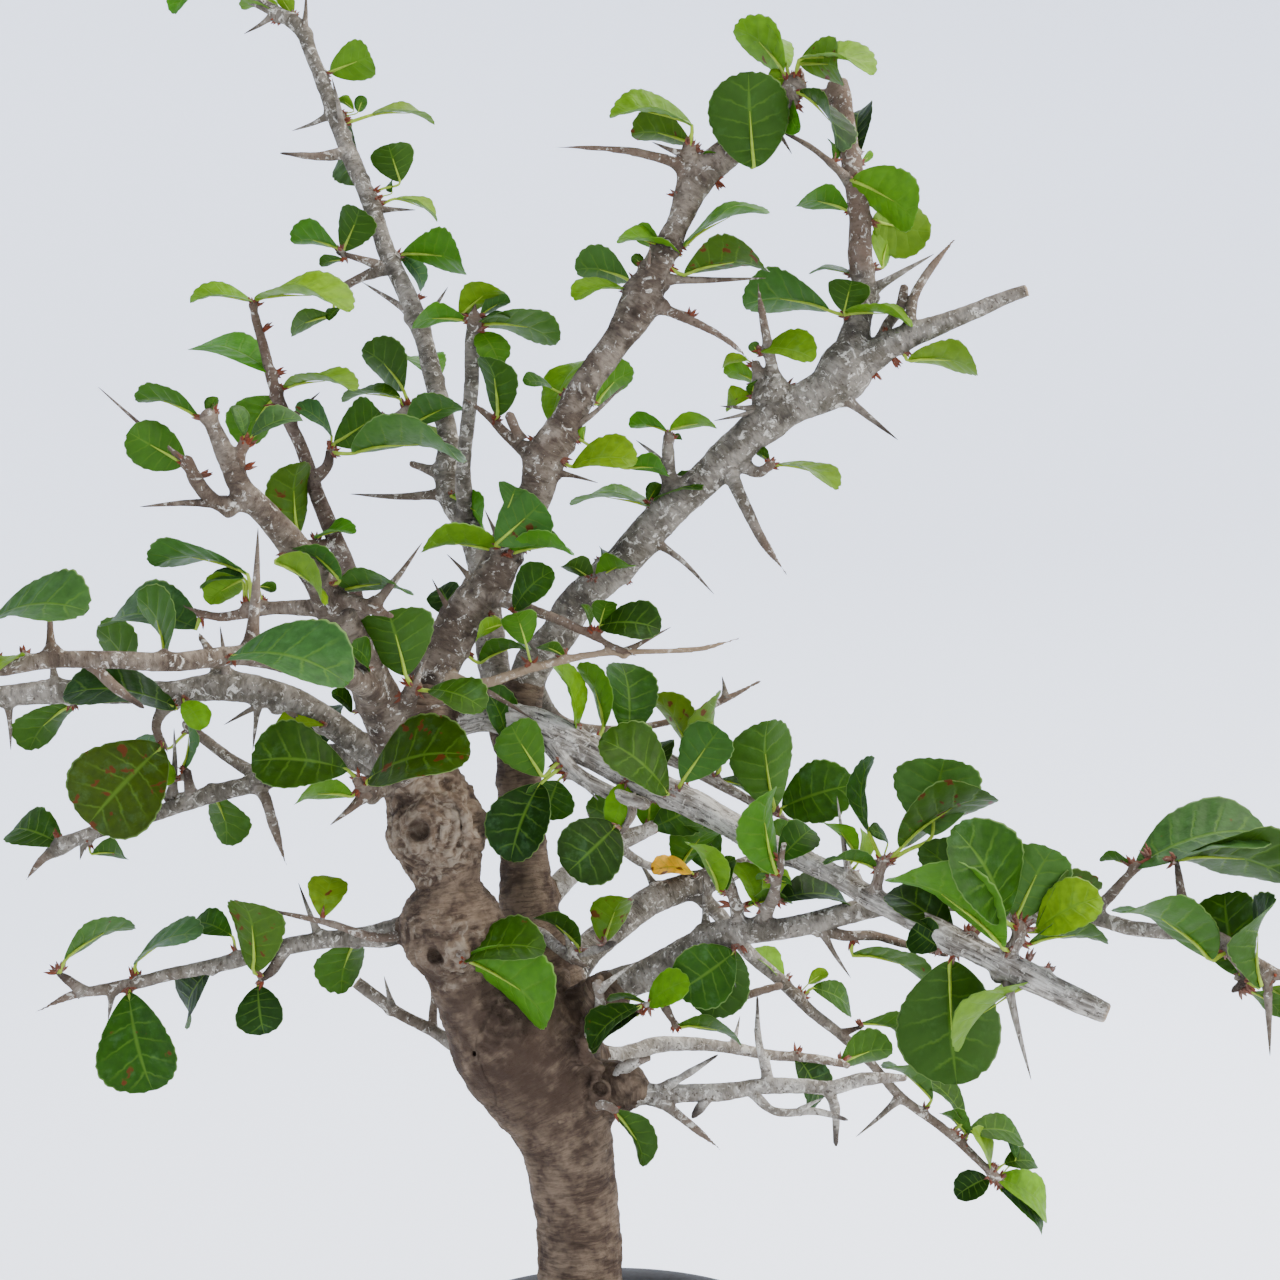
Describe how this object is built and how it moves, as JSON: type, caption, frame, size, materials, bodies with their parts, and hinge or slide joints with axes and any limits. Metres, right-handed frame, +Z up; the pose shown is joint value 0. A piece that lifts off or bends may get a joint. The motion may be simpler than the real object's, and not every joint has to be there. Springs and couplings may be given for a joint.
{
  "type": "commiphora orbicularis bonsai",
  "caption": "Thorny bonsai tree with a burled trunk, long crooked boughs and small toothed leaves, standing in a plain round dark pot.",
  "frame": {"origin": "middle of the pot's flat underside, on the surface that the pot stands on", "axes": "+Z up, +X to the right and +Y away from the side that the picture shows"},
  "size_m": [0.3446, 0.1712, 0.4387],
  "materials": {
    "pot_ceramic": "unglazed dark stoneware, matt",
    "soil": "gritty mineral bonsai soil",
    "drainage_mesh": "moulded plastic mesh",
    "bark": "grey-brown bark with lichen flecks, matt",
    "leafy_wood": "grey-brown bark with thorns and green toothed leaves"
  },
  "bodies": {
    "root": {"pot": "pot_ceramic", "soil": "soil", "drainage_mesh": "drainage_mesh", "trunk": "bark", "bough_left_near": "leafy_wood", "bough_top_centre": "leafy_wood", "bough_top_right": "leafy_wood", "bough_top_left": "leafy_wood", "bough_left_slender": "leafy_wood", "bough_left_level": "leafy_wood", "bough_left_middle": "leafy_wood", "bough_left_low": "leafy_wood", "twig_left_bare": "bark", "bough_right": "leafy_wood", "bough_right_low": "leafy_wood", "twig_right_dead": "bark", "twig_right_back": "bark", "bough_back_pale": "leafy_wood", "bough_back_drooping": "leafy_wood", "shoot_trunk_left": "leafy_wood", "shoot_trunk_front": "leafy_wood", "shoot_trunk_right": "leafy_wood", "shoot_trunk_low": "leafy_wood"}
  },
  "joints": []
}
